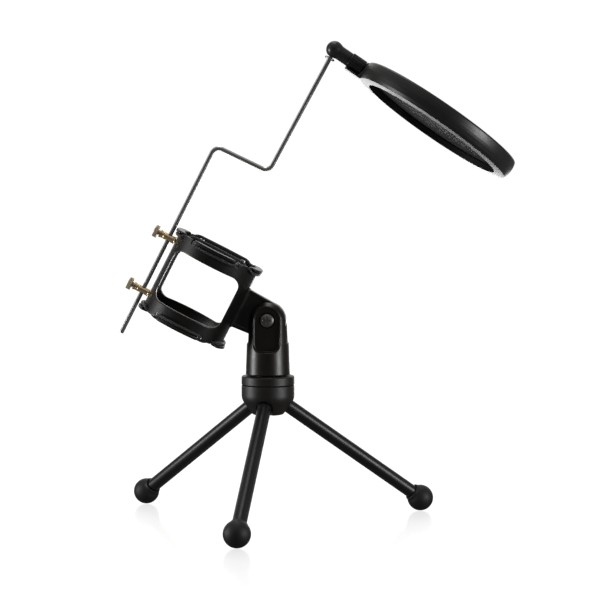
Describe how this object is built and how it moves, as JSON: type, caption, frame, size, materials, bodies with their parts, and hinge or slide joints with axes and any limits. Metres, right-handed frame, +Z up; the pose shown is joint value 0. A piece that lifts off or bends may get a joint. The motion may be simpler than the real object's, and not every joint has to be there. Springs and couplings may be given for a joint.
{
  "type": "pop filter",
  "caption": "Desktop pop filter stand: folding tripod, tilting clevis head, cage cradle with elastic bands, cranked steel rod and a round mesh filter on a ball-ended swivel.",
  "frame": {"origin": "centre of the overall box at the level of the feet, on the surface it stands on", "axes": "+Z up along the tripod axis; +X the way the filter reaches out from the stand; -Y the side that the tilt screw head and the front leg are on"},
  "size_m": [0.2264, 0.166, 0.2745],
  "materials": {
    "black_plastic": "semi-gloss moulded ABS, slightly warm black",
    "leg_enamel": "satin black paint on steel rod",
    "foot_rubber": "matt moulded rubber",
    "rod_steel": "bright drawn steel wire",
    "post_brass": "turned brass",
    "knurled_brass": "knurled brass, dulled",
    "elastic_cord": "woven cover over rubber cord",
    "nylon": "natural nylon",
    "rim_plastic": "smooth moulded plastic",
    "mesh_cloth": "fine stretched nylon mesh",
    "zinc_steel": "zinc-plated steel"
  },
  "bodies": {
    "hub": {"hub_body": "black_plastic", "hub_cap": "black_plastic", "threaded_stud": "zinc_steel", "hub_screw": "zinc_steel", "leg_pin_front": "rod_steel", "leg_pin_left": "rod_steel", "leg_pin_right": "rod_steel"},
    "leg_front": {"leg_front": "leg_enamel", "foot_front": "foot_rubber"},
    "leg_left": {"leg_left": "leg_enamel", "foot_left": "foot_rubber"},
    "leg_right": {"leg_right": "leg_enamel", "foot_right": "foot_rubber"},
    "head": {"swivel_barrel": "black_plastic", "thread_insert": "post_brass", "pivot_screw": "zinc_steel", "pivot_nut": "zinc_steel", "friction_washer_front": "nylon", "friction_washer_back": "nylon"},
    "cradle": {"cradle_cage": "black_plastic", "elastic_upper_front_back": "elastic_cord", "elastic_upper_left_right": "elastic_cord", "elastic_lower_front_back": "elastic_cord", "elastic_lower_left_right": "elastic_cord", "rod_post_upper": "post_brass", "rod_post_lower": "post_brass", "post_screw_upper": "zinc_steel", "post_screw_lower": "zinc_steel"},
    "thumbscrew_upper": {"thumbscrew_upper": "knurled_brass"},
    "thumbscrew_lower": {"thumbscrew_lower": "knurled_brass"},
    "rod": {"offset_rod": "rod_steel", "retaining_ring": "zinc_steel"},
    "swivel": {"swivel_ball": "black_plastic"},
    "lock_collar": {"lock_collar": "black_plastic"},
    "filter": {"filter_frame": "rim_plastic", "mesh_front": "mesh_cloth", "spacer_ring": "black_plastic", "mesh_rear": "mesh_cloth", "retaining_hoop": "rim_plastic"}
  },
  "joints": [
    {"name": "leg_front_fold", "type": "hinge", "parent": "hub", "child": "leg_front", "pos_m": [-0.02809, 0.01063, 0.0676], "axis": [0.9959, -0.0906, 0], "range_deg": [0, 55]},
    {"name": "leg_left_fold", "type": "hinge", "parent": "hub", "child": "leg_left", "pos_m": [-0.03499, 0.02557, 0.0676], "axis": [-0.5764, -0.8171, 0], "range_deg": [0, 55]},
    {"name": "leg_right_fold", "type": "hinge", "parent": "hub", "child": "leg_right", "pos_m": [-0.01861, 0.02408, 0.0676], "axis": [-0.4195, 0.9078, 0], "range_deg": [0, 55]},
    {"name": "head_pan", "type": "hinge", "parent": "hub", "child": "head", "pos_m": [-0.02723, 0.02009, 0.0841], "axis": [0, 0, 1], "range_deg": [-180, 180]},
    {"name": "cradle_tilt", "type": "hinge", "parent": "head", "child": "cradle", "pos_m": [-0.02723, 0.02009, 0.1155], "axis": [0, 1, 0], "range_deg": [-27, 63]},
    {"name": "thumbscrew_upper_turn", "type": "hinge", "parent": "cradle", "child": "thumbscrew_upper", "pos_m": [-0.09143, 0.02009, 0.16616], "axis": [-0.891, 0, 0.454], "range_deg": [0, 720]},
    {"name": "thumbscrew_lower_turn", "type": "hinge", "parent": "cradle", "child": "thumbscrew_lower", "pos_m": [-0.10673, 0.02009, 0.13614], "axis": [-0.891, 0, 0.454], "range_deg": [0, 720]},
    {"name": "rod_slide", "type": "slide", "parent": "cradle", "child": "rod", "axis": [0.454, 0, 0.891], "range_m": [-0.045, 0.022]},
    {"name": "ball_turn", "type": "hinge", "parent": "rod", "child": "swivel", "pos_m": [0.01092, 0.02009, 0.2696], "axis": [0.4757, 0, 0.8796], "continuous": true},
    {"name": "collar_turn", "type": "hinge", "parent": "swivel", "child": "lock_collar", "pos_m": [0.02328, 0.02009, 0.2611], "axis": [0.8241, 0, -0.5664], "range_deg": [0, 360]},
    {"name": "filter_roll", "type": "hinge", "parent": "swivel", "child": "filter", "pos_m": [0.02328, 0.02009, 0.2611], "axis": [0.8241, 0, -0.5664], "range_deg": [-180, 180]}
  ]
}
